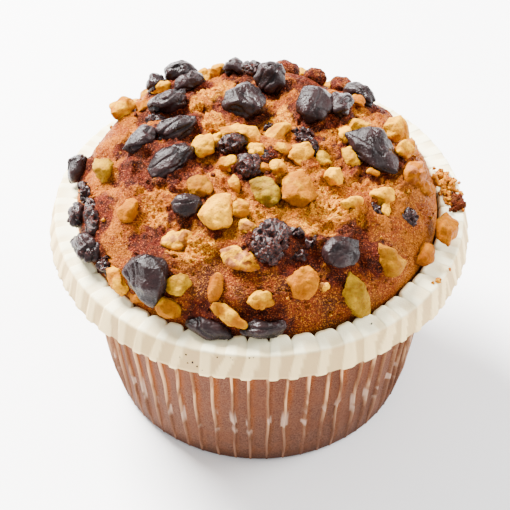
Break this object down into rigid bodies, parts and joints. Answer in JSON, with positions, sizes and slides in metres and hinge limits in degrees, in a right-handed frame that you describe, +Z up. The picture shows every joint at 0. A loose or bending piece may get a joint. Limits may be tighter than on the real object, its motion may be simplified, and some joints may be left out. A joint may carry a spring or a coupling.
{
  "type": "muffin",
  "caption": "Domed golden muffin in a pleated paper case with a turned-down collar, topped with dark dried berries and chopped nuts.",
  "frame": {"origin": "centre of the flat bottom of the paper case, on the surface that it stands on", "axes": "+Z up through the middle of the cake; -Y is the side that faces the viewer in the picture, +X is right in it"},
  "size_m": [0.0828, 0.0828, 0.061],
  "materials": {
    "crust": "baked golden brown crust, matte with a fine moist sparkle",
    "paper": "thin greaseproof paper, cream, translucent where the cake shows through",
    "berry": "near-black wrinkled skin with a soft gloss",
    "nut": "toasted pale yellow to tan, satin"
  },
  "bodies": {
    "root": {"cake": "crust", "paper_case": "paper", "berry_01": "berry", "berry_02": "berry", "berry_03": "berry", "berry_04": "berry", "berry_05": "berry", "berry_06": "berry", "berry_07": "berry", "berry_08": "berry", "berry_09": "berry", "berry_10": "berry", "berry_11": "berry", "berry_12": "berry", "berry_13": "berry", "berry_14": "berry", "berry_15": "berry", "berry_16": "berry", "berry_17": "berry", "berry_18": "berry", "berry_19": "berry", "berry_20": "berry", "berry_21": "berry", "berry_22": "berry", "berry_23": "berry", "berry_24": "berry", "berry_25": "berry", "berry_26": "berry", "berry_27": "berry", "berry_28": "berry", "berry_29": "berry", "berry_30": "berry", "berry_31": "berry", "nut_01": "nut", "nut_02": "nut", "nut_03": "nut", "nut_04": "nut", "nut_05": "nut", "nut_06": "nut", "nut_07": "nut", "nut_08": "nut", "nut_09": "nut", "nut_10": "nut", "nut_11": "nut", "nut_12": "nut", "nut_13": "nut", "nut_14": "nut", "nut_15": "nut", "nut_16": "nut", "nut_17": "nut", "nut_18": "nut", "nut_19": "nut", "nut_20": "nut", "nut_21": "nut", "nut_22": "nut", "nut_23": "nut", "nut_24": "nut"}
  },
  "joints": []
}
